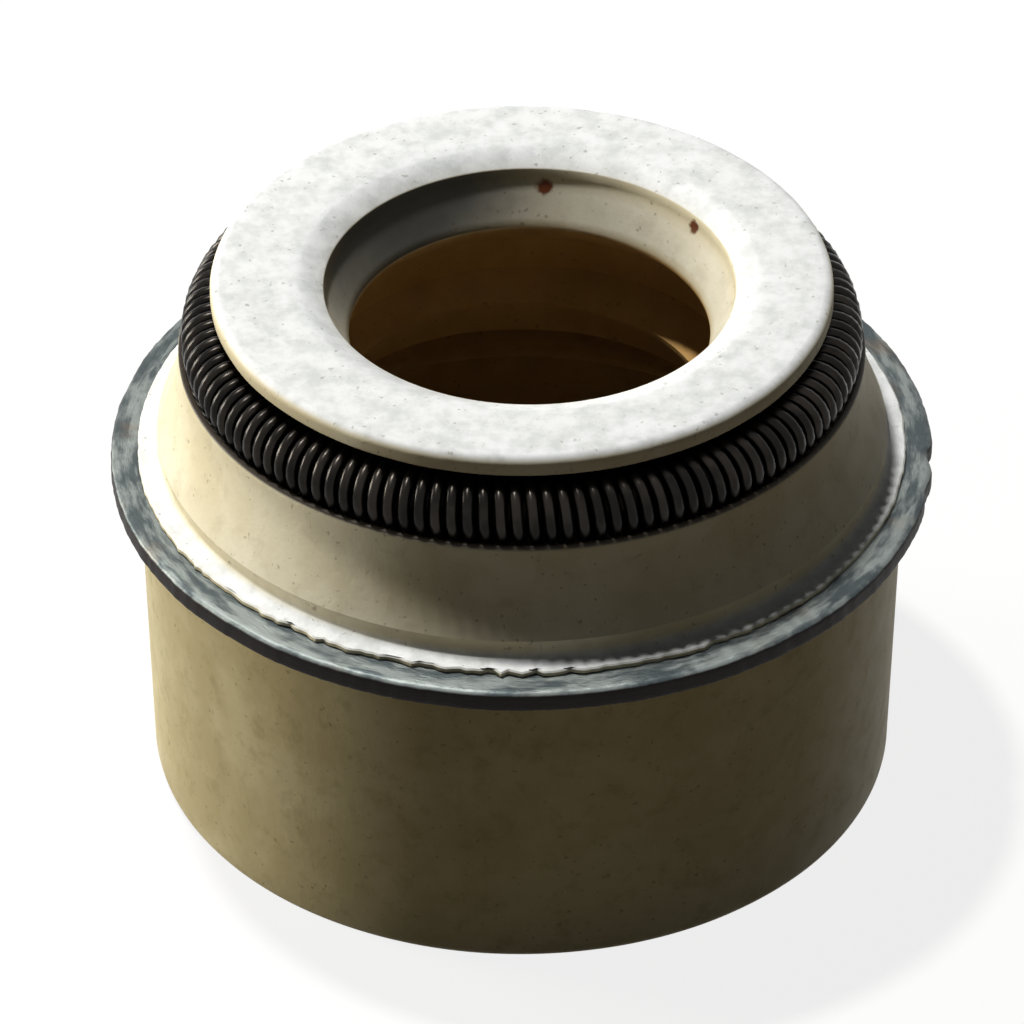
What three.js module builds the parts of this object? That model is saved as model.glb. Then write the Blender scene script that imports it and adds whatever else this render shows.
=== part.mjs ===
// Valve stem seal for an 8 mm valve stem, in millimetres, +Z up, base on z = 0, axis on Z.
//
// Three pieces, turned about one axis:
//   seal_body         the moulded elastomer: skirt over the valve guide, neck, spring groove, collar and lips
//   reinforcing_ring  the pressed steel ring bonded into the skirt, whose flange edge stands out of it
//   garter_spring     the closed coil spring in the groove, which holds the lip on the stem
//
// The outline of the body is built upwards from the base, so a height that grows lifts all above it,
// and outwards from the stem and from the guide, the two things that the seal fits.

import * as THREE from "three";

// What the seal fits
const stemDiameter = 8.0;
const guideDiameter = 12.8;

// Lips on the stem, as moulded, before the stem spreads them
const lipInterference = 0.6; // on diameter
const lipLand = 0.1; // flat of the lip's edge
const lipDepth = 1.35; // from the top face down to the lip's edge
const mouthWidening = 0.5; // from the lip's edge out to the edge of the mouth
const bevelWidth = 0.45; // round the mouth, on the top face
const bevelDrop = 0.22;
const lipUnderside = 0.75; // height of the cone under the lip
const chamberClearance = 0.5; // round the stem, between the two lips
const chamberHeight = 0.7;
const gasLipInterference = 0.3; // on diameter
const gasLipHeight = 0.45; // of each of its two cones
const neckClearance = 0.6; // round the stem, below the lips

// Garter spring
const coilDiameter = 1.4;
const wireDiameter = 0.26;
const turnGap = 0.012; // between turns, at the inside of the ring
const lipWall = 1.85; // elastomer between the lip's edge and the bottom of the groove
const springClearance = 0.03;
const grooveHeadroom = 0.17; // above the spring, more than its clearance

// Collar over the groove and shoulder under it
const collarReach = 0.07; // past the middle of the spring
const collarThickness = 0.44;
const collarEdgeRadius = 0.2;
const collarUnderRadius = 0.08;
const shoulderReach = 0.76; // past the middle of the spring
const shoulderDrop = 0.33; // crest of the shoulder below the middle of the spring
const shoulderEdgeRadius = 0.07;

// Neck, from the floor of the dish up to the crest of the shoulder
const neckHeight = 2.37;
const flankLean = 24; // degrees off upright, at the foot of the flank
const floorFillet = 0.3;
const floorFlat = 0.13; // from the fillet out to the edge of the body

// Skirt over the guide
const skirtHeight = 6.98; // base to the underside of the steel flange
const gripInterference = 0.4; // of the ribs, on diameter
const ribCount = 3;
const ribHeight = 0.2;
const ribWidth = 0.7; // of its foot
const ribCrest = 0.24; // width of its flat crest
const gripWall = 0.5; // elastomer inside the steel
const coverWall = 0.59; // elastomer outside the steel, at the flange
const skirtDraft = 0.15; // how much smaller the skirt is at its base
const baseChamfer = 0.18;
const leadIn = 0.35;
const guideDepth = 7.0; // base to the roof that rests on the guide's end
const roofChamfer = 0.25; // round the roof, which keeps it clear of the ribs

// Steel ring
const steelThickness = 0.44;
const bendRadius = 0.2; // inside the bend
const flangeReach = 0.57; // past the body
const flangeEdgeRadius = 0.12;
const flangeUnderRadius = 0.05;
const legRise = 0.8; // base to the lower end of the leg
const filmThickness = 0.1; // elastomer on top of the flange
const bondLine = 0.03; // between the steel and the elastomer

// Smoothness
const turnedSides = 60;
const stepsPerTurn = 7;
const wireSides = 4;

// Radii and heights that follow
const lipRadius = (stemDiameter - lipInterference) / 2;
const mouthRadius = lipRadius + mouthWidening;
const chamberRadius = stemDiameter / 2 + chamberClearance;
const gasLipRadius = (stemDiameter - gasLipInterference) / 2;
const neckBore = stemDiameter / 2 + neckClearance;

const grooveRadius = coilDiameter / 2 + springClearance;
const springRadius = lipRadius + lipWall + grooveRadius;
const collarRadius = springRadius + collarReach;
const shoulderRadius = springRadius + shoulderReach;

const ribRadius = (guideDiameter - gripInterference) / 2;
const boreRadius = ribRadius + ribHeight;
const legInner = boreRadius + gripWall;
const legOuter = legInner + steelThickness;
const bodyRadius = legOuter + coverWall;
const baseRadius = bodyRadius - skirtDraft;
const flangeRadius = bodyRadius + flangeReach;
const floorRadius = bodyRadius - floorFlat;

const flangeTop = skirtHeight + steelThickness;
const floorHeight = flangeTop + bondLine + filmThickness;
const shoulderHeight = floorHeight + neckHeight;
const springHeight = shoulderHeight + shoulderDrop;
const collarUnderside = springHeight + grooveHeadroom + grooveRadius;
const topHeight = collarUnderside + collarThickness;
const mouthHeight = topHeight - bevelDrop;
const lipHeight = topHeight - lipDepth;
const chamberTop = lipHeight - lipLand - lipUnderside;
const chamberFloor = chamberTop - chamberHeight;
const bendCentre = [legOuter + bendRadius, skirtHeight - bendRadius];

// An arc in the half plane of the profile, as [radius, height] points, from one angle to another in degrees.
function arc([centreR, centreZ], radius, from, to, steps) {
  const points = [];
  for (let i = 0; i <= steps; i++) {
    const angle = THREE.MathUtils.degToRad(from + ((to - from) * i) / steps);
    points.push([centreR + radius * Math.cos(angle), centreZ + radius * Math.sin(angle)]);
  }
  return points;
}

// A closed profile turned once round the Z axis. It runs anticlockwise, seen with the radius to the right.
function turned(profile) {
  const outline = profile.map(([r, z]) => new THREE.Vector2(r, z));
  outline.push(outline[0].clone());
  return new THREE.LatheGeometry(outline, turnedSides).rotateX(Math.PI / 2);
}

// The outside of the skirt, from the base up to the underside of the flange.
function skirtOutside() {
  return [
    [baseRadius - baseChamfer, 0],
    [baseRadius, baseChamfer],
    [bodyRadius, skirtHeight - bondLine],
  ];
}

// The slot that holds the steel: in under the flange, down and up the leg, out over the flange.
function steelSlot() {
  const legEnd = legRise - bondLine;
  return [
    ...arc(bendCentre, bendRadius - bondLine, 90, 180, 2),
    [legOuter + bondLine, legEnd],
    [legInner - bondLine, legEnd],
    ...arc(bendCentre, bendRadius + steelThickness + bondLine, 180, 90, 3),
    [bodyRadius, flangeTop + bondLine],
  ];
}

// The floor of the dish, its fillet, and the flank that steepens until it is upright at the shoulder.
function neckOutside() {
  const fillet = arc([floorRadius, floorHeight + floorFillet], floorFillet, 270, 180 - flankLean, 4);
  const foot = new THREE.Vector2(...fillet.at(-1));
  const head = new THREE.Vector2(shoulderRadius, shoulderHeight - shoulderEdgeRadius);
  const lean = Math.tan(THREE.MathUtils.degToRad(flankLean));
  const pull = new THREE.Vector2(head.x, foot.y + (foot.x - head.x) / lean);
  const flank = new THREE.QuadraticBezierCurve(foot, pull, head).getPoints(3);
  return [
    [bodyRadius, floorHeight],
    ...fillet,
    ...flank.slice(1, -1).map((point) => [point.x, point.y]),
  ];
}

// The crest of the shoulder, the groove and the collar, up to the top face.
function grooveAndCollar() {
  const crestCentre = [shoulderRadius - shoulderEdgeRadius, shoulderHeight - shoulderEdgeRadius];
  const grooveMouth = THREE.MathUtils.radToDeg(Math.asin(-shoulderDrop / grooveRadius));
  const underCentre = [collarRadius - collarUnderRadius, collarUnderside + collarUnderRadius];
  const edgeCentre = [collarRadius - collarEdgeRadius, topHeight - collarEdgeRadius];
  return [
    ...arc(crestCentre, shoulderEdgeRadius, 0, 90, 1),
    ...arc([springRadius, springHeight], grooveRadius, grooveMouth, -180, 6),
    ...arc([springRadius, springHeight + grooveHeadroom], grooveRadius, 180, 90, 3),
    ...arc(underCentre, collarUnderRadius, -90, 0, 1),
    ...arc(edgeCentre, collarEdgeRadius, 0, 90, 3),
  ];
}

// The mouth, the lip on the stem, the chamber and the gas lip, down to the neck's bore.
function lips() {
  const gasLipTop = chamberFloor - gasLipHeight;
  return [
    [mouthRadius + bevelWidth, topHeight],
    [mouthRadius, mouthHeight],
    [lipRadius, lipHeight],
    [lipRadius, lipHeight - lipLand],
    [chamberRadius, chamberTop],
    [chamberRadius, chamberFloor],
    [gasLipRadius, gasLipTop],
    [gasLipRadius, gasLipTop - lipLand],
    [neckBore, gasLipTop - lipLand - gasLipHeight],
    [neckBore, guideDepth],
  ];
}

// The bore over the guide, with its grip ribs, from the roof down to the base.
function guideBore() {
  const points = [
    [boreRadius - roofChamfer, guideDepth],
    [boreRadius, guideDepth - roofChamfer],
  ];
  const spacing = (guideDepth - leadIn) / (ribCount + 1);
  for (let i = 1; i <= ribCount; i++) {
    const middle = guideDepth - spacing * i;
    points.push(
      [boreRadius, middle + ribWidth / 2],
      [ribRadius, middle + ribCrest / 2],
      [ribRadius, middle - ribCrest / 2],
      [boreRadius, middle - ribWidth / 2],
    );
  }
  points.push([boreRadius, leadIn], [boreRadius + leadIn, 0]);
  return points;
}

function sealBody() {
  return turned([
    ...skirtOutside(),
    ...steelSlot(),
    ...neckOutside(),
    ...grooveAndCollar(),
    ...lips(),
    ...guideBore(),
  ]);
}

function reinforcingRing() {
  const underCentre = [flangeRadius - flangeUnderRadius, skirtHeight + flangeUnderRadius];
  const edgeCentre = [flangeRadius - flangeEdgeRadius, flangeTop - flangeEdgeRadius];
  return turned([
    [legInner, legRise],
    [legOuter, legRise],
    ...arc(bendCentre, bendRadius, 180, 90, 2),
    ...arc(underCentre, flangeUnderRadius, -90, 0, 1),
    ...arc(edgeCentre, flangeEdgeRadius, 0, 90, 3),
    ...arc(bendCentre, bendRadius + steelThickness, 90, 180, 3),
  ]);
}

// The wire's middle line is a helix bent round into a ring, so its last turn runs into its first.
function garterSpring() {
  const turnRadius = (coilDiameter - wireDiameter) / 2;
  const insideLength = 2 * Math.PI * (springRadius - turnRadius);
  const turns = Math.floor(insideLength / (wireDiameter + turnGap));
  const steps = turns * stepsPerTurn;

  const middleAt = (step) => {
    const round = (2 * Math.PI * step) / steps;
    const turn = -round * turns;
    const reach = springRadius + turnRadius * Math.cos(turn);
    const height = springHeight + turnRadius * Math.sin(turn);
    return new THREE.Vector3(reach * Math.cos(round), reach * Math.sin(round), height);
  };
  const outwardAt = (step) => {
    const round = (2 * Math.PI * step) / steps;
    const turn = -round * turns;
    const flat = Math.cos(turn);
    return new THREE.Vector3(flat * Math.cos(round), flat * Math.sin(round), Math.sin(turn));
  };

  const positions = [];
  for (let step = 0; step < steps; step++) {
    const middle = middleAt(step);
    const outward = outwardAt(step);
    const along = middleAt(step + 0.5).sub(middleAt(step - 0.5)).normalize();
    const across = new THREE.Vector3().crossVectors(along, outward).normalize();
    for (let side = 0; side < wireSides; side++) {
      const angle = (2 * Math.PI * side) / wireSides;
      const corner = middle
        .clone()
        .addScaledVector(outward, (wireDiameter / 2) * Math.cos(angle))
        .addScaledVector(across, (wireDiameter / 2) * Math.sin(angle));
      positions.push(corner.x, corner.y, corner.z);
    }
  }

  const faces = [];
  for (let step = 0; step < steps; step++) {
    const here = step * wireSides;
    const next = ((step + 1) % steps) * wireSides;
    for (let side = 0; side < wireSides; side++) {
      const other = (side + 1) % wireSides;
      faces.push(here + side, here + other, next + side);
      faces.push(here + other, next + other, next + side);
    }
  }

  const geometry = new THREE.BufferGeometry();
  geometry.setAttribute("position", new THREE.Float32BufferAttribute(positions, 3));
  geometry.setIndex(faces);
  geometry.computeVertexNormals();
  return geometry;
}

const elastomer = new THREE.MeshStandardMaterial({ color: 0xb3a985, roughness: 0.6, metalness: 0 });
const bareSteel = new THREE.MeshStandardMaterial({ color: 0x7e8684, roughness: 0.4, metalness: 1 });
const springSteel = new THREE.MeshStandardMaterial({ color: 0x2e2c2a, roughness: 0.3, metalness: 1 });

function piece(name, geometry, material) {
  const mesh = new THREE.Mesh(geometry, material);
  mesh.name = name;
  return mesh;
}

const group = new THREE.Group();
group.add(
  piece("seal_body", sealBody(), elastomer),
  piece("reinforcing_ring", reinforcingRing(), bareSteel),
  piece("garter_spring", garterSpring(), springSteel),
);

export default group;
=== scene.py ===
"""A valve stem seal standing on its base, seen from the front and above.

The elastomer body, the steel ring bonded into it and the garter spring in its groove are each
turned or coiled as finer meshes over the model's plain solids.
"""

import math

import bpy
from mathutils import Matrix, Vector, noise


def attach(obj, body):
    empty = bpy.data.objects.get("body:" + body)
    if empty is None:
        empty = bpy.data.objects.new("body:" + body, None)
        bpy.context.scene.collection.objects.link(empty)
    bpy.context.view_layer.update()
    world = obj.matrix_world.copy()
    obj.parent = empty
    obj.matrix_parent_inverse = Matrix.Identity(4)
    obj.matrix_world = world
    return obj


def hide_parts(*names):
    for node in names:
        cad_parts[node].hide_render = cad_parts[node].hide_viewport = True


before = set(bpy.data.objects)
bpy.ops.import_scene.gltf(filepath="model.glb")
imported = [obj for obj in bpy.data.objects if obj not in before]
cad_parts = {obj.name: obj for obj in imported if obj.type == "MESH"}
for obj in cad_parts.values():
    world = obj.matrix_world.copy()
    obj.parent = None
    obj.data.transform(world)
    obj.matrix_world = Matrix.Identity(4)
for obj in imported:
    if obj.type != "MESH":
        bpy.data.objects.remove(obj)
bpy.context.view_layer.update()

MM = 0.001
FRONT = -math.pi / 2  # the angle round the axis that faces the camera

# Radii and heights of the seal in millimetres, the same as the solids'
LIP_RADIUS = 3.7
LIP_HEIGHT = 10.24
LIP_LAND = 0.1
MOUTH_RADIUS = 4.2
MOUTH_HEIGHT = 11.37
BEVEL_RADIUS = 4.65
CHAMBER_RADIUS = 4.5
CHAMBER_TOP = 9.39
CHAMBER_FLOOR = 8.69
GAS_LIP_RADIUS = 3.85
GAS_LIP_CONE = 0.45
NECK_BORE = 4.6
SPRING_RADIUS = 6.28
SPRING_HEIGHT = 10.25
COIL_RADIUS = 0.7
WIRE_RADIUS = 0.13
TURNS = 131
GROOVE_RADIUS = 0.73
GROOVE_HEADROOM = 0.17
COLLAR_RADIUS = 6.35
COLLAR_UNDERSIDE = 11.15
TOP_HEIGHT = 11.59
SHOULDER_RADIUS = 7.04
SHOULDER_HEIGHT = 9.92
FLANK_LEAN = 24
FLOOR_HEIGHT = 7.55
FLOOR_FILLET = 0.3
FLOOR_RADIUS = 7.8
BODY_RADIUS = 7.93
BASE_RADIUS = 7.78
BASE_CHAMFER = 0.18
SKIRT_HEIGHT = 6.98
FLANGE_TOP = 7.42
FLANGE_RADIUS = 8.5
STEEL = 0.44
LEG_INNER = 6.9
LEG_OUTER = 7.34
LEG_RISE = 0.8
BEND_RADIUS = 0.2
BOND = 0.03
GUIDE_DEPTH = 7.0
BORE_RADIUS = 6.4
RIB_RADIUS = 6.2
RIB_COUNT = 3
RIB_WIDTH = 0.7
LEAD_IN = 0.35
ROOF_CHAMFER = 0.25

# How finely the pieces are turned
BODY_STEPS = 360
RING_STEPS = 600
COIL_STEPS = 22

# What the photograph shows of this one seal
MOUTH_OFFSET = 0.16  # the mouth lies a little to the right of the middle
# Rust spots in the funnel, as x, y, height and size
RUST_SPOTS = [(0.48, 4.09, 10.98, 0.26), (3.55, 2.42, 11.12, 0.21), (-0.35, 3.98, 10.9, 0.08)]
# Chips in the flange's edge, as the angle round the axis, the width in radians and the depth
FLANGE_CHIPS = [(-0.05, 0.035, 0.12), (-0.2, 0.03, 0.05), (2.9, 0.05, 0.04)]

# Grains of the elastomer: the size of their blotches in millimetres, their detail and roughness
ELASTOMER_GRAINS = [(2.6, 4, 0.6), (0.55, 4, 0.65), (0.14, 2, 0.5), (0.09, 3, 0.6)]
STREAK_STRETCH = 5  # how much longer the steel's streaks are round the flange than across it


# Outlines, as (radius, height) points

def arc(centre, radius, start, end, steps):
    """Points of an arc round a centre, from one angle to another in degrees."""
    points = []
    for i in range(steps + 1):
        angle = math.radians(start + (end - start) * i / steps)
        points.append((centre[0] + radius * math.cos(angle), centre[1] + radius * math.sin(angle)))
    return points


def line(first, last, steps):
    """Points along a straight line, without its first one."""
    return [
        tuple(a + (b - a) * i / steps for a, b in zip(first, last))
        for i in range(1, steps + 1)
    ]


def body_outline():
    """The closed outline of the elastomer, upwards on the outside and down again in the bore."""
    bend = (LEG_OUTER + BEND_RADIUS, SKIRT_HEIGHT - BEND_RADIUS)
    points = [(BASE_RADIUS - BASE_CHAMFER - 0.04, 0)]
    points += arc((BASE_RADIUS - BASE_CHAMFER, BASE_CHAMFER), BASE_CHAMFER, -90, 0, 4)
    points += line(points[-1], (BODY_RADIUS, SKIRT_HEIGHT - BOND - 0.05), 10)
    points.append((BODY_RADIUS - 0.05, SKIRT_HEIGHT - BOND))
    points += arc(bend, BEND_RADIUS - BOND, 90, 180, 3)
    points.append((LEG_OUTER + BOND, LEG_RISE - BOND))
    points.append((LEG_INNER - BOND, LEG_RISE - BOND))
    points += arc(bend, BEND_RADIUS + STEEL + BOND, 180, 90, 5)
    points.append((BODY_RADIUS - 0.1, FLANGE_TOP + BOND))
    points.append((BODY_RADIUS, FLANGE_TOP + BOND))
    points.append((BODY_RADIUS, FLOOR_HEIGHT - 0.03))
    points.append((BODY_RADIUS - 0.03, FLOOR_HEIGHT))
    points += line(points[-1], (FLOOR_RADIUS + 0.02, FLOOR_HEIGHT), 3)
    fillet = (FLOOR_RADIUS, FLOOR_HEIGHT + FLOOR_FILLET)
    points += arc(fillet, FLOOR_FILLET, 270, 180 - FLANK_LEAN, 8)
    points += flank_outline()
    points += arc((SHOULDER_RADIUS - 0.07, SHOULDER_HEIGHT - 0.07), 0.07, 0, 90, 3)
    mouth = math.degrees(math.asin((SHOULDER_HEIGHT - SPRING_HEIGHT) / GROOVE_RADIUS))
    points += arc((SPRING_RADIUS, SPRING_HEIGHT), GROOVE_RADIUS, mouth, -180, 14)
    points += arc((SPRING_RADIUS, SPRING_HEIGHT + GROOVE_HEADROOM), GROOVE_RADIUS, 180, 90, 8)
    points += arc((COLLAR_RADIUS - 0.08, COLLAR_UNDERSIDE + 0.08), 0.08, -90, 0, 3)
    points += arc((COLLAR_RADIUS - 0.2, TOP_HEIGHT - 0.2), 0.2, 0, 90, 6)
    points += line(points[-1], (BEVEL_RADIUS + 0.1, TOP_HEIGHT), 5)
    points += [(BEVEL_RADIUS, TOP_HEIGHT - 0.015), (BEVEL_RADIUS - 0.1, TOP_HEIGHT - 0.06)]
    points += [(MOUTH_RADIUS + 0.02, MOUTH_HEIGHT + 0.01), (MOUTH_RADIUS, MOUTH_HEIGHT - 0.02)]
    points += [(MOUTH_RADIUS - 0.01, MOUTH_HEIGHT - 0.2), (MOUTH_RADIUS - 0.05, MOUTH_HEIGHT - 0.33)]
    points += line(points[-1], (LIP_RADIUS, LIP_HEIGHT), 5)
    points.append((LIP_RADIUS, LIP_HEIGHT - LIP_LAND))
    points += [(CHAMBER_RADIUS, CHAMBER_TOP), (CHAMBER_RADIUS, CHAMBER_FLOOR)]
    gas_lip = CHAMBER_FLOOR - GAS_LIP_CONE
    points += [(GAS_LIP_RADIUS, gas_lip), (GAS_LIP_RADIUS, gas_lip - LIP_LAND)]
    points.append((NECK_BORE, gas_lip - LIP_LAND - GAS_LIP_CONE))
    points += [(NECK_BORE, GUIDE_DEPTH), (BORE_RADIUS - ROOF_CHAMFER, GUIDE_DEPTH)]
    points.append((BORE_RADIUS, GUIDE_DEPTH - ROOF_CHAMFER))
    spacing = (GUIDE_DEPTH - LEAD_IN) / (RIB_COUNT + 1)
    for i in range(1, RIB_COUNT + 1):
        middle = GUIDE_DEPTH - spacing * i
        for radius, offset in rib_outline():
            points.append((radius, middle + offset))
    points += [(BORE_RADIUS, LEAD_IN), (BORE_RADIUS + LEAD_IN, 0)]
    return points


def rib_outline():
    """One grip rib, rounded, as radii and offsets from its middle height."""
    points = []
    for i in range(7):
        share = i / 6
        radius = BORE_RADIUS - (BORE_RADIUS - RIB_RADIUS) * math.sin(math.pi * share)
        points.append((radius, RIB_WIDTH * (0.5 - share)))
    return points


def flank_outline():
    """The flank of the neck, which steepens until it is upright at the shoulder."""
    lean = math.radians(FLANK_LEAN)
    foot = Vector((
        FLOOR_RADIUS - FLOOR_FILLET * math.cos(lean),
        FLOOR_HEIGHT + FLOOR_FILLET + FLOOR_FILLET * math.sin(lean),
    ))
    head = Vector((SHOULDER_RADIUS, SHOULDER_HEIGHT - 0.07))
    pull = Vector((head.x, foot.y + (foot.x - head.x) / math.tan(lean)))
    points = []
    for i in range(1, 15):
        share = i / 15
        point = foot * (1 - share) ** 2 + pull * 2 * share * (1 - share) + head * share**2
        points.append((point.x, point.y))
    return points


def ring_outline():
    """The closed outline of the steel ring: its leg, its bend and its flange."""
    bend = (LEG_OUTER + BEND_RADIUS, SKIRT_HEIGHT - BEND_RADIUS)
    points = [(LEG_INNER, LEG_RISE), (LEG_OUTER, LEG_RISE)]
    points += arc(bend, BEND_RADIUS, 180, 90, 3)
    points += line(points[-1], (FLANGE_RADIUS - 0.06, SKIRT_HEIGHT), 3)
    points += arc((FLANGE_RADIUS - 0.05, SKIRT_HEIGHT + 0.05), 0.05, -60, 0, 2)
    points += line(points[-1], (FLANGE_RADIUS, FLANGE_TOP - 0.12), 3)
    points += arc((FLANGE_RADIUS - 0.12, FLANGE_TOP - 0.12), 0.12, 20, 90, 4)
    points += line(points[-1], (BODY_RADIUS - 0.1, FLANGE_TOP), 6)
    points += arc(bend, BEND_RADIUS + STEEL, 90, 180, 5)
    return points


# Modelling

def bare_selection():
    """Nothing selected and no object in edit mode."""
    if bpy.context.object and bpy.context.object.mode != "OBJECT":
        bpy.ops.object.mode_set(mode="OBJECT")
    bpy.ops.object.select_all(action="DESELECT")


def turned(name, outline, steps):
    """A closed outline, drawn by extruding one point, spun once round the upright axis."""
    bare_selection()
    first = outline[0]
    bpy.ops.mesh.primitive_plane_add(size=MM, location=(0, 0, 0))
    piece = bpy.context.object
    piece.name = name
    piece.data.name = name
    bpy.ops.object.mode_set(mode="EDIT")
    bpy.ops.mesh.select_all(action="SELECT")
    bpy.ops.mesh.merge(type="CENTER")
    bpy.ops.transform.translate(value=(first[0] * MM, 0, first[1] * MM))
    for (r0, z0), (r1, z1) in zip(outline, outline[1:]):
        move = ((r1 - r0) * MM, 0, (z1 - z0) * MM)
        bpy.ops.mesh.extrude_region_move(TRANSFORM_OT_translate={"value": move})
    bpy.ops.object.mode_set(mode="OBJECT")
    piece.data.vertices[0].select = True
    bpy.ops.object.mode_set(mode="EDIT")
    bpy.ops.mesh.edge_face_add()
    bpy.ops.mesh.select_all(action="SELECT")
    bpy.ops.mesh.spin(steps=steps, angle=2 * math.pi, center=(0, 0, 0), axis=(0, 0, 1))
    bpy.ops.mesh.select_all(action="SELECT")
    bpy.ops.mesh.remove_doubles(threshold=0.002 * MM)
    bpy.ops.mesh.normals_make_consistent(inside=False)
    bpy.ops.object.mode_set(mode="OBJECT")
    return piece


def reshape(piece, move):
    """Moves each vertex of a piece by a rule that gets and gives radius, angle and height in mm."""
    for vertex in piece.data.vertices:
        x, y, z = (c / MM for c in vertex.co)
        radius, angle, height = move(math.hypot(x, y), math.atan2(y, x), z)
        vertex.co = (radius * math.cos(angle) * MM, radius * math.sin(angle) * MM, height * MM)
    piece.data.update()


def step(low, high, value):
    """0 below low, 1 above high, smooth between."""
    share = min(1, max(0, (value - low) / (high - low)))
    return share * share * (3 - 2 * share)


def around(angle, turns, seed):
    """A smooth random value from -1 to 1 that closes on itself round the axis."""
    place = Vector((math.cos(angle) * turns, math.sin(angle) * turns, seed))
    return noise.noise(place)


def moulded(radius, angle, height):
    """The body as this one came out of its mould: an eccentric mouth, a torn film, soft waves."""
    x = radius * math.cos(angle)
    y = radius * math.sin(angle)
    if height > CHAMBER_FLOOR and radius < COLLAR_RADIUS:
        x += MOUTH_OFFSET * step(COLLAR_RADIUS - 0.2, MOUTH_RADIUS + 0.3, radius)
    radius = math.hypot(x, y)
    angle = math.atan2(y, x)
    on_film = abs(radius - BODY_RADIUS) < 0.05 and FLANGE_TOP < height < FLOOR_HEIGHT + 0.01
    if on_film:
        torn = step(-0.2, 0.5, math.cos(angle - FRONT + 0.25) - 0.55)
        tooth = around(angle, 34, 2.5) + 0.5 * around(angle, 70, 7.5)
        radius += 0.03 * around(angle, 6, 1.5) + (0.02 + 0.09 * torn) * tooth
    elif height > SHOULDER_HEIGHT and radius > COLLAR_RADIUS - 0.25:
        radius += 0.012 * around(angle, 7, 4.5)
    elif radius > LEG_OUTER + 0.3 and height < SKIRT_HEIGHT:
        radius += 0.012 * around(angle, 3, 5.5 + 0.15 * height)
    return radius, angle, height


def sheared(radius, angle, height):
    """The flange as its press sheared it, with burrs, chips and one notch at the right."""
    share = step(BODY_RADIUS, FLANGE_RADIUS, radius)
    edge = 0.018 * around(angle, 9, 11.5) + 0.014 * around(angle, 60, 13.5)
    for place, width, depth in FLANGE_CHIPS:
        edge -= depth * math.exp(-(((angle - place) / width) ** 2))
    radius += share * edge
    if height > FLANGE_TOP - 0.2 and radius > BODY_RADIUS - 0.05:
        height += 0.012 * around(angle, 40, 17.5 + radius) - 0.01 * share
    return radius, angle, height


def coiled_spring():
    """The garter spring: one closed coil of round wire, its turns nearly touching."""
    curve = bpy.data.curves.new("garter_spring_coil", "CURVE")
    curve.dimensions = "3D"
    curve.bevel_depth = WIRE_RADIUS * MM
    curve.bevel_resolution = 2
    curve.use_fill_caps = False
    spline = curve.splines.new("POLY")
    count = TURNS * COIL_STEPS
    spline.points.add(count - 1)
    reach = COIL_RADIUS - WIRE_RADIUS
    for i in range(count):
        angle = 2 * math.pi * i / count
        turn = -angle * TURNS
        radius = SPRING_RADIUS + reach * math.cos(turn)
        height = SPRING_HEIGHT + reach * math.sin(turn)
        place = (radius * math.cos(angle) * MM, radius * math.sin(angle) * MM, height * MM, 1)
        spline.points[i].co = place
    spline.use_cyclic_u = True
    piece = bpy.data.objects.new("garter_spring_coil", curve)
    bpy.context.collection.objects.link(piece)
    bare_selection()
    piece.select_set(True)
    bpy.context.view_layer.objects.active = piece
    bpy.ops.object.convert(target="MESH")
    piece = bpy.context.object
    bpy.ops.object.mode_set(mode="EDIT")
    bpy.ops.mesh.select_all(action="SELECT")
    bpy.ops.mesh.remove_doubles(threshold=0.002 * MM)
    bpy.ops.mesh.normals_make_consistent(inside=False)
    bpy.ops.object.mode_set(mode="OBJECT")
    bpy.ops.object.shade_smooth()
    return piece


# Materials, which read Object coordinates in millimetres

def linear(hexcode):
    """A hex sRGB colour as the linear colour that a shader takes."""
    channels = [int(hexcode[i : i + 2], 16) / 255 for i in (0, 2, 4)]
    return [c / 12.92 if c <= 0.04045 else ((c + 0.055) / 1.055) ** 2.4 for c in channels] + [1]


def add(tree, kind, inputs=None, **settings):
    """Adds a node. Each input is a number, a hex colour, a socket, or a node for its first output."""
    made = tree.nodes.new(kind)
    for key, value in settings.items():
        setattr(made, key, value)
    for key, value in (inputs or {}).items():
        if isinstance(value, bpy.types.Node):
            value = value.outputs[0]
        if isinstance(value, bpy.types.NodeSocket):
            tree.links.new(value, made.inputs[key])
        else:
            made.inputs[key].default_value = linear(value) if isinstance(value, str) else value
    return made


def empty_material(name):
    """A material with no nodes yet, and its node tree."""
    material = bpy.data.materials.new(name)
    material.use_nodes = True
    material.node_tree.nodes.clear()
    return material, material.node_tree


def places(tree):
    """Object coordinates, and from them x, y, the height and the radius, all in millimetres."""
    metres = add(tree, "ShaderNodeTexCoord").outputs["Object"]
    place = add(tree, "ShaderNodeVectorMath", {0: metres, "Scale": 1 / MM}, operation="SCALE")
    x, y, height = add(tree, "ShaderNodeSeparateXYZ", {0: place}).outputs
    flat = add(tree, "ShaderNodeVectorMath", {0: place, 1: (1, 1, 0)}, operation="MULTIPLY")
    radius = add(tree, "ShaderNodeVectorMath", {0: flat}, operation="LENGTH").outputs["Value"]
    return place.outputs[0], x, y, height, radius


def region(tree, strength, *edges):
    """A mask of a strength where each value is past its second edge, and 0 before its first."""
    mask = strength
    for value, outside, inside in edges:
        limits = {"Value": value, "From Min": outside, "From Max": inside, "To Max": mask}
        mask = add(tree, "ShaderNodeMapRange", limits, interpolation_type="SMOOTHSTEP")
    return mask


def layered(tree, colour, *layers):
    """Lays colours over a first one, each by its own mask."""
    for mask, over in layers:
        mixed = add(tree, "ShaderNodeMix", {0: mask, 6: colour, 7: over}, data_type="RGBA")
        colour = mixed.outputs[2]
    return colour


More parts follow.
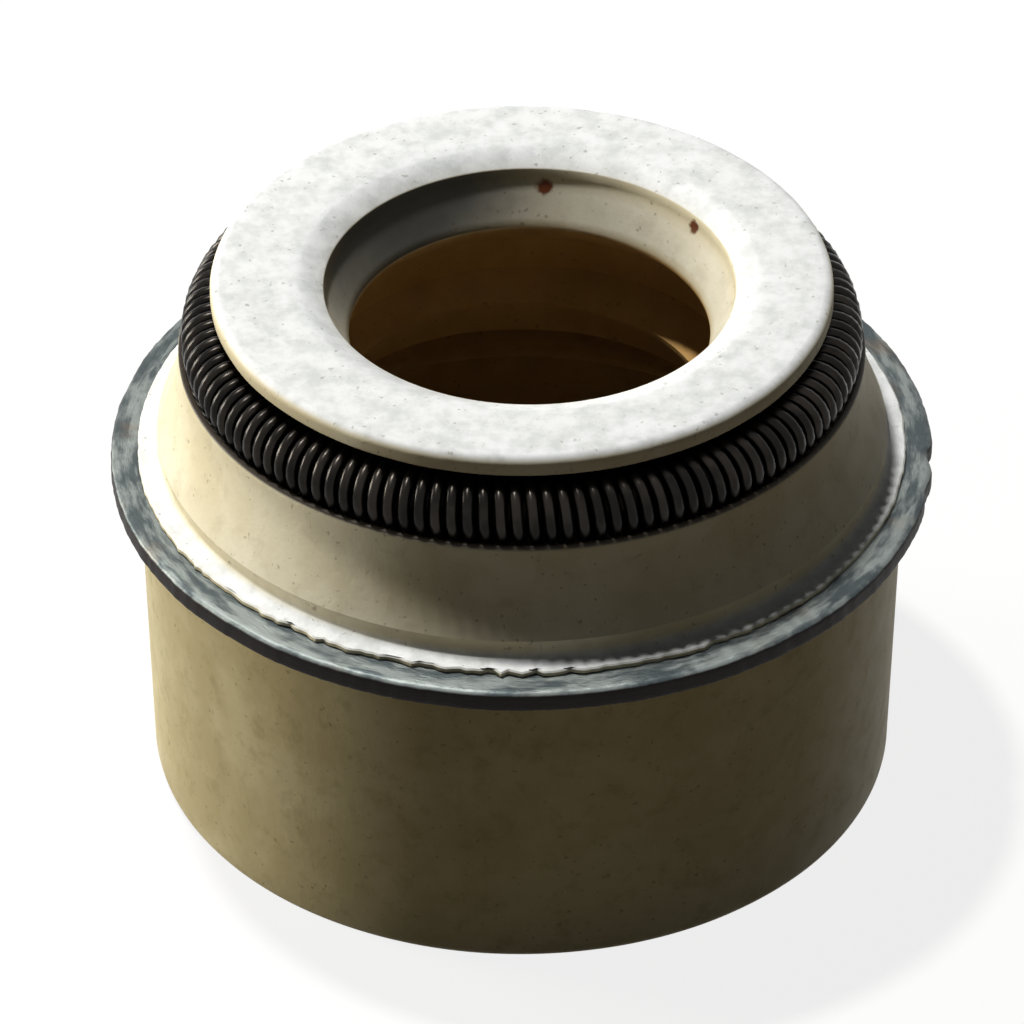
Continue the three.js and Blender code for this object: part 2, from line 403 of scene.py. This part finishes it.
def upward(tree):
    """How far a face looks up: 1 for level, 0 for upright."""
    normal = add(tree, "ShaderNodeNewGeometry").outputs["Normal"]
    return add(tree, "ShaderNodeSeparateXYZ", {0: normal}).outputs["Z"]


def raw_elastomer(tree, height, patches, mottle):
    """The moulded colour: olive on the skirt and paler above the flange, each with soft patches."""
    skirt = layered(
        tree,
        "b2a47a",
        (region(tree, 1, (patches, 0.36, 0.64)), "c4b890"),
        (region(tree, 0.4, (mottle, 0.5, 0.72)), "94875e"),
    )
    neck = layered(
        tree,
        "d2c7a6",
        (region(tree, 1, (patches, 0.38, 0.66)), "e2dabf"),
        (region(tree, 0.35, (mottle, 0.52, 0.75)), "b5a88a"),
    )
    return layered(tree, skirt, (region(tree, 1, (height, 7.2, 7.6)), neck))


def oily_places(tree, height, radius):
    """The bore under the lip and the cavity for the guide, which oil has turned brown."""
    bore = region(tree, 1, (height, 10.3, 10.15), (radius, 5.01, 4.99))
    cavity = region(tree, 1, (height, 7.11, 7.09), (radius, 6.9, 6.7))
    return add(tree, "ShaderNodeMath", {0: bore, 1: cavity}, operation="MAXIMUM")


def funnel_painted_shadow(tree, place, x, y, height, patches):
    """A painted grey shadow in the funnel and in the groove behind it, at the back and left of the lip,
    where the key lamp's shadow falls.
    """
    back_left = add(tree, "ShaderNodeMath", {0: y, 1: x}, operation="SUBTRACT")
    uneven = add(tree, "ShaderNodeMath", {0: patches, 1: 1.6, 2: back_left}, operation="MULTIPLY_ADD")
    below_rim = (height, MOUTH_HEIGHT - 0.01, MOUTH_HEIGHT - 0.03)
    above_lip = (height, LIP_HEIGHT - 0.01, LIP_HEIGHT + 0.01)
    reach = add(tree, "ShaderNodeVectorMath", {0: place}, operation="LENGTH").outputs["Value"]
    return region(tree, 0.93, (uneven, 3.4, 6.4), below_rim, above_lip, (reach, 12.21, 12.19))


def rust_spot(tree, place, centre, size):
    """A small round spot of rust with an uneven edge."""
    blotches = {"Vector": place, "Scale": 1 / 0.12, "Detail": 2, "Roughness": 0.5}
    uneven = add(tree, "ShaderNodeTexNoise", blotches)
    away = add(tree, "ShaderNodeVectorMath", {0: place, 1: centre}, operation="DISTANCE")
    distance = {0: uneven, 1: 0.6 * size, 2: away.outputs["Value"]}
    edge = add(tree, "ShaderNodeMath", distance, operation="MULTIPLY_ADD")
    return region(tree, 1, (edge, 1.2 * size, 0.7 * size))


def moulded_elastomer():
    """Fluoroelastomer, moulded: satin and khaki, with a painted pale sheen on its upward faces, painted
    shade in its funnel and in the spring's groove, a painted shadow at the back and left of the lip, and
    oily inside.
    """
    material, tree = empty_material("moulded_fluoroelastomer")
    place, x, y, height, radius = places(tree)
    patches, mottle, specks, fine = [
        add(
            tree,
            "ShaderNodeTexNoise",
            {"Vector": place, "Scale": 1 / size, "Detail": detail, "Roughness": roughness},
        )
        for size, detail, roughness in ELASTOMER_GRAINS
    ]
    inside = oily_places(tree, height, radius)
    # Painted sheen: a pale bluish white laid over the faces that look up, for the light and sky that they
    # reflect.
    painted_sheen = layered(tree, "e0e3e6", (region(tree, 1, (mottle, 0.35, 0.7)), "c6cacc"))
    oil = layered(tree, "a5814d", (region(tree, 1, (patches, 0.35, 0.65)), "b8935c"))
    # Painted shade: the funnel wall below the mouth's edge is darkened a little towards grey-brown.
    funnel = region(tree, 0.22, (height, 11.4, 11.2), (radius, 4.41, 4.39))
    # Painted shade: near-black in the spring's groove, round and under the coils, up to below the collar.
    groove = region(tree, 1, (height, 9.83, 9.9), (height, 11.13, 11.11), (radius, 5.19, 5.21))
    # Painted shadow of the mouth's edge, grey, in the funnel at the back and left.
    lip_painted_shadow = funnel_painted_shadow(tree, place, x, y, height, patches)
    colour = layered(
        tree,
        raw_elastomer(tree, height, patches, mottle),
        (region(tree, 0.92, (upward(tree), 0.25, 0.9)), painted_sheen),
        (funnel, "8f8674"),
        (inside, oil),
        (groove, "241d14"),
        (lip_painted_shadow, "383b3e"),
        *[(rust_spot(tree, place, centre, size), "5a2f16") for *centre, size in RUST_SPOTS],
        (region(tree, 0.4, (specks, 0.66, 0.74)), "5b4c30"),
    )

    satin = add(tree, "ShaderNodeMapRange", {"Value": mottle, "To Min": 0.38, "To Max": 0.62})
    oily_dull = add(tree, "ShaderNodeMath", {0: inside, 1: 0.85}, operation="MULTIPLY")
    roughness = add(tree, "ShaderNodeMath", {0: satin, 1: oily_dull}, operation="MAXIMUM")
    relief = add(tree, "ShaderNodeMix", {0: 0.3, 2: mottle, 3: fine})
    bump = {"Strength": 0.35, "Distance": 0.03 * MM, "Height": relief}
    shader = add(
        tree,
        "ShaderNodeBsdfPrincipled",
        {
            "Base Color": colour,
            "Roughness": roughness,
            "Specular IOR Level": 0.12,
            "Normal": add(tree, "ShaderNodeBump", bump),
        },
    )
    add(tree, "ShaderNodeOutputMaterial", {"Surface": shader})
    return material


def bare_steel():
    """Cold-rolled steel, sheared and bare: grey, streaked round the flange, brown where it rusts, and
    near-black painted shade on the faces that do not look up.
    """
    material, tree = empty_material("sheared_bare_steel")
    place, x, y, height, radius = places(tree)
    outwards = add(tree, "ShaderNodeMath", {0: radius, 1: height}, operation="ADD")
    squeezed = add(tree, "ShaderNodeMath", {0: outwards, 1: STREAK_STRETCH}, operation="MULTIPLY")
    streaky = add(tree, "ShaderNodeCombineXYZ", {"X": x, "Y": y, "Z": squeezed})
    streaks, fine, patches = [
        add(
            tree,
            "ShaderNodeTexNoise",
            {"Vector": where, "Scale": 1 / size, "Detail": detail, "Roughness": roughness},
        )
        for where, size, detail, roughness in (
            (streaky, 1.1, 4, 0.6),
            (streaky, 0.16, 3, 0.6),
            (place, 1.6, 3, 0.55),
        )
    ]
    top_face = (upward(tree), 0.3, 0.7)
    pressed = layered(
        tree,
        "444b4d",
        (region(tree, 1, (streaks, 0.38, 0.62)), "777d7b"),
        (region(tree, 0.5, (patches, 0.55, 0.75)), "6a5641"),
    )
    bump = {"Strength": 0.5, "Distance": 0.02 * MM, "Height": fine}
    shader = add(
        tree,
        "ShaderNodeBsdfPrincipled",
        {
            # Faces that look up show the pressed steel; the sheared side and the underside of the rounded
            # edge are painted near-black, as shade.
            "Base Color": layered(tree, "16100e", (region(tree, 1, top_face), pressed)),
            "Metallic": region(tree, 0.85, top_face),
            "Roughness": add(tree, "ShaderNodeMapRange", {"Value": streaks, "To Min": 0.4, "To Max": 0.62}),
            "Specular IOR Level": 0.12,
            "Normal": add(tree, "ShaderNodeBump", bump),
        },
    )
    add(tree, "ShaderNodeOutputMaterial", {"Surface": shader})
    return material


def oiled_spring_wire():
    """Hard-drawn spring wire, oiled: nearly black, smooth, with bright glints."""
    material, tree = empty_material("oiled_spring_wire")
    place = places(tree)[0]
    smears = {"Vector": place, "Scale": 1 / 0.8, "Detail": 3, "Roughness": 0.5}
    patches = add(tree, "ShaderNodeTexNoise", smears)
    shader = add(
        tree,
        "ShaderNodeBsdfPrincipled",
        {
            "Base Color": layered(tree, "1e1c1a", (region(tree, 1, (patches, 0.4, 0.65)), "2a2724")),
            "Metallic": 1,
            "Roughness": add(tree, "ShaderNodeMapRange", {"Value": patches, "To Min": 0.26, "To Max": 0.34}),
        },
    )
    add(tree, "ShaderNodeOutputMaterial", {"Surface": shader})
    return material


def finish_piece(piece, node, material, angle=None):
    """Sets a piece's finish, its body and the node that it stands for."""
    if angle:
        bare_selection()
        piece.select_set(True)
        bpy.context.view_layer.objects.active = piece
        bpy.ops.object.shade_smooth_by_angle(angle=math.radians(angle))
    piece.data.materials.clear()
    piece.data.materials.append(material)
    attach(piece, "root")
    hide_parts(node)


# The camera, at the photograph's angle: 36.7 degrees up, from 150 mm

CAMERA_ELEVATION = math.radians(36.7)
CAMERA_DISTANCE = 150
CAMERA_AIM = (-0.2, 0, 5.57)
CAMERA_LENS = 253.0

camera_data = bpy.data.cameras.new("camera")
camera_data.lens = CAMERA_LENS
camera_data.sensor_width = 36
camera_data.clip_start = MM
camera_data.clip_end = 10
camera = bpy.data.objects.new("camera", camera_data)
bpy.context.collection.objects.link(camera)
camera.location = (
    CAMERA_AIM[0] * MM,
    -CAMERA_DISTANCE * math.cos(CAMERA_ELEVATION) * MM,
    (CAMERA_AIM[2] + CAMERA_DISTANCE * math.sin(CAMERA_ELEVATION)) * MM,
)
camera.rotation_euler = (math.pi / 2 - CAMERA_ELEVATION, 0, 0)
bpy.context.scene.camera = camera

# The pieces

body = turned("seal_body_moulding", body_outline(), BODY_STEPS)
reshape(body, moulded)
finish_piece(body, "seal_body", moulded_elastomer(), 35)

ring = turned("reinforcing_ring_pressing", ring_outline(), RING_STEPS)
reshape(ring, sheared)
finish_piece(ring, "reinforcing_ring", bare_steel(), 40)

spring = coiled_spring()
finish_piece(spring, "garter_spring", oiled_spring_wire())


# The studio

FLOOR_GLOW = 0.84  # share of the floor's white that needs no light, so that a shadow stays pale
LAMP_AIM = 6  # height of the seal's middle
LAMP_DISTANCE = 200


def seen_rays(tree):
    """1 for the rays that show the white background: to the camera, and off metal or through glass."""
    path = add(tree, "ShaderNodeLightPath").outputs
    seen = {0: path["Is Camera Ray"], 1: path["Is Glossy Ray"]}
    seen_or_glossy = add(tree, "ShaderNodeMath", seen, operation="MAXIMUM")
    all_three = {0: seen_or_glossy, 1: path["Is Transmission Ray"]}
    return add(tree, "ShaderNodeMath", all_three, operation="MAXIMUM")


def floor():
    """A pale plane, drawn white to the camera but for the seal's own shadow."""
    bare_selection()
    bpy.ops.mesh.primitive_plane_add(size=2, location=(0, 0, -0.01 * MM))
    plane = bpy.context.object
    plane.name = "floor"
    material, tree = empty_material("pale_floor")
    lit = add(tree, "ShaderNodeBsdfPrincipled", {"Base Color": "4a4233", "Roughness": 0.9})
    pale = add(tree, "ShaderNodeBsdfDiffuse", {"Color": "f4f4f2"})
    white = add(tree, "ShaderNodeEmission", {"Color": (1, 1, 1, 1), "Strength": 1.0})
    shown = add(tree, "ShaderNodeMixShader", {0: FLOOR_GLOW, 1: pale, 2: white})
    mixed = add(tree, "ShaderNodeMixShader", {0: seen_rays(tree), 1: lit, 2: shown})
    add(tree, "ShaderNodeOutputMaterial", {"Surface": mixed})
    plane.data.materials.append(material)


def lamp(name, azimuth, elevation, size, power, colour):
    """An area lamp aimed at the seal's middle; azimuth 0 is at the camera's side, 90 at the left."""
    data = bpy.data.lights.new(name, "AREA")
    data.shape = "DISK"
    data.size = size * MM
    data.energy = power
    data.color = colour
    made = bpy.data.objects.new(name, data)
    bpy.context.collection.objects.link(made)
    azimuth = math.radians(azimuth)
    elevation = math.radians(elevation)
    direction = Vector((
        -math.sin(azimuth) * math.cos(elevation),
        -math.cos(azimuth) * math.cos(elevation),
        math.sin(elevation),
    ))
    made.location = Vector((0, 0, LAMP_AIM * MM)) + direction * LAMP_DISTANCE * MM
    made.rotation_euler = (-direction).to_track_quat("-Z", "Y").to_euler()


def studio_light():
    """A small key lamp high up behind at the left, a wide one low at the left, and a dim room."""
    lamp("key_lamp", azimuth=136, elevation=71, size=18, power=0.43, colour=(1, 0.985, 0.955))
    lamp("left_lamp", azimuth=110, elevation=10, size=80, power=0.48, colour=(1, 0.965, 0.88))
    world = bpy.data.worlds.new("room")
    world.use_nodes = True
    tree = world.node_tree
    tree.nodes.clear()
    dim = add(tree, "ShaderNodeBackground", {"Color": (0.75, 0.88, 1, 1), "Strength": 0.012})
    white = add(tree, "ShaderNodeBackground", {"Color": (1, 1, 1, 1), "Strength": 1.0})
    mixed = add(tree, "ShaderNodeMixShader", {0: seen_rays(tree), 1: dim, 2: white})
    add(tree, "ShaderNodeOutputWorld", {"Surface": mixed})
    bpy.context.scene.world = world


floor()
studio_light()
bpy.context.scene.view_settings.view_transform = "Standard"
